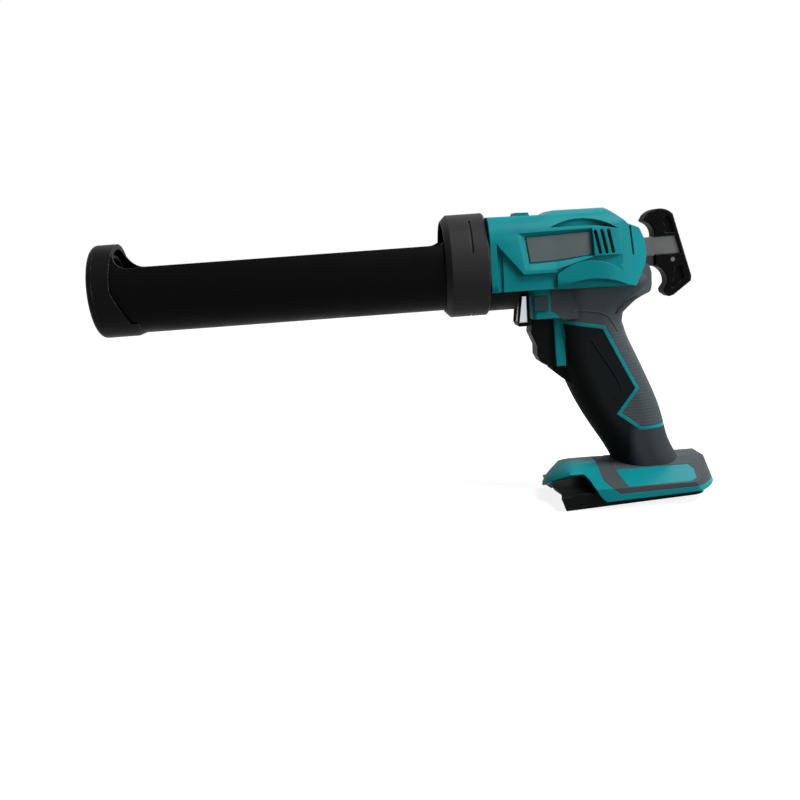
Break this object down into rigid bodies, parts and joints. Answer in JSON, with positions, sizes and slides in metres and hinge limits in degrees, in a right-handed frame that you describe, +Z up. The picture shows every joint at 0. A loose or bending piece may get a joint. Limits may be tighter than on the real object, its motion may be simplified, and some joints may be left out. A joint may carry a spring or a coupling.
{
  "type": "cordless caulking tool",
  "caption": "Cordless caulking tool with a half-open cartridge cradle, a rack-and-pinion plunger rod with a pull handle, a pistol grip with trigger, and a battery foot.",
  "frame": {"origin": "centre of the nozzle hole on the front face of the cap", "axes": "+X back along the plunger rod, +Y to the tool's right-hand side, +Z up"},
  "size_m": [0.3833, 0.072, 0.1881],
  "materials": {
    "dark_metal": "satin dark grey coat",
    "black_metal": "semi-gloss black coat",
    "black_plastic": "fine moulded texture",
    "grey_plastic": "fine moulded texture",
    "teal_plastic": "satin moulded",
    "black_rubber": "matt, fine texture",
    "grey_rubber": "matt, fine texture",
    "lens_plastic": "clear over white",
    "steel": "drawn",
    "dark_steel": "blackened",
    "cast_aluminium": "die-cast",
    "bronze": "plain",
    "board": "solder mask"
  },
  "bodies": {
    "tool": {"collar_nut": "dark_metal", "gear_case": "black_plastic", "rod_bush_front": "black_plastic", "rod_bush_rear": "black_plastic", "shaft_bushes": "bronze", "gearbox": "cast_aluminium", "motor_can": "steel", "motor_end_cap": "black_plastic", "housing_left": "teal_plastic", "housing_right": "teal_plastic", "label_plate_left": "grey_plastic", "label_plate_right": "grey_plastic", "grip_front_left": "black_rubber", "grip_front_right": "black_rubber", "grip_back_left": "grey_rubber", "grip_back_right": "grey_rubber", "foot_pad_left": "grey_rubber", "foot_pad_right": "grey_rubber", "trigger_switch": "black_plastic", "lamp_lens": "lens_plastic", "lamp_holder": "black_plastic", "battery_rail": "black_plastic", "control_board": "board", "terminal_block": "black_plastic", "terminal_blades": "bronze", "housing_screws": "dark_steel"},
    "holder": {"front_cap": "dark_metal", "cap_skirt": "dark_metal", "cartridge_cradle": "black_metal"},
    "rod": {"plunger_bar": "steel", "plunger_rack": "dark_steel", "plunger_disc": "black_metal", "plunger_screw": "steel", "pull_handle": "black_plastic", "handle_pin": "steel"},
    "pinion": {"pinion_shaft": "steel", "rack_pinion": "steel", "drive_gear": "steel"},
    "output": {"output_gear": "steel"},
    "trigger_button": {"trigger": "black_plastic"},
    "selector": {"selector_button": "grey_plastic"}
  },
  "joints": [
    {"name": "holder_swivel", "type": "hinge", "parent": "tool", "child": "holder", "pos_m": [0.232, 0, 0], "axis": [1, 0, 0], "continuous": true},
    {"name": "rod_slide", "type": "slide", "parent": "tool", "child": "rod", "axis": [1, 0, 0], "range_m": [0, 0.2178]},
    {"name": "pinion_spin", "type": "hinge", "parent": "tool", "child": "pinion", "pos_m": [0.2973, 0, -0.01615], "axis": [0, 1, 0], "range_deg": [-2, 1390]},
    {"name": "output_spin", "type": "hinge", "parent": "tool", "child": "output", "pos_m": [0.3041, 0, -0.03298], "axis": [0, 1, 0], "range_deg": [-2780, 4]},
    {"name": "trigger_pull", "type": "slide", "parent": "tool", "child": "trigger_button", "axis": [1, 0, 0], "range_m": [0, 0.006], "stiffness_N_per_m": 600, "springref_m": -0.004},
    {"name": "selector_push", "type": "slide", "parent": "tool", "child": "selector", "axis": [0, -1, 0], "range_m": [0, 0.004]}
  ],
  "couplings": [
    {"joint": "pinion_spin", "follows": "rod_slide", "rad_per_m": 111.11},
    {"joint": "output_spin", "follows": "rod_slide", "rad_per_m": -222.22}
  ]
}
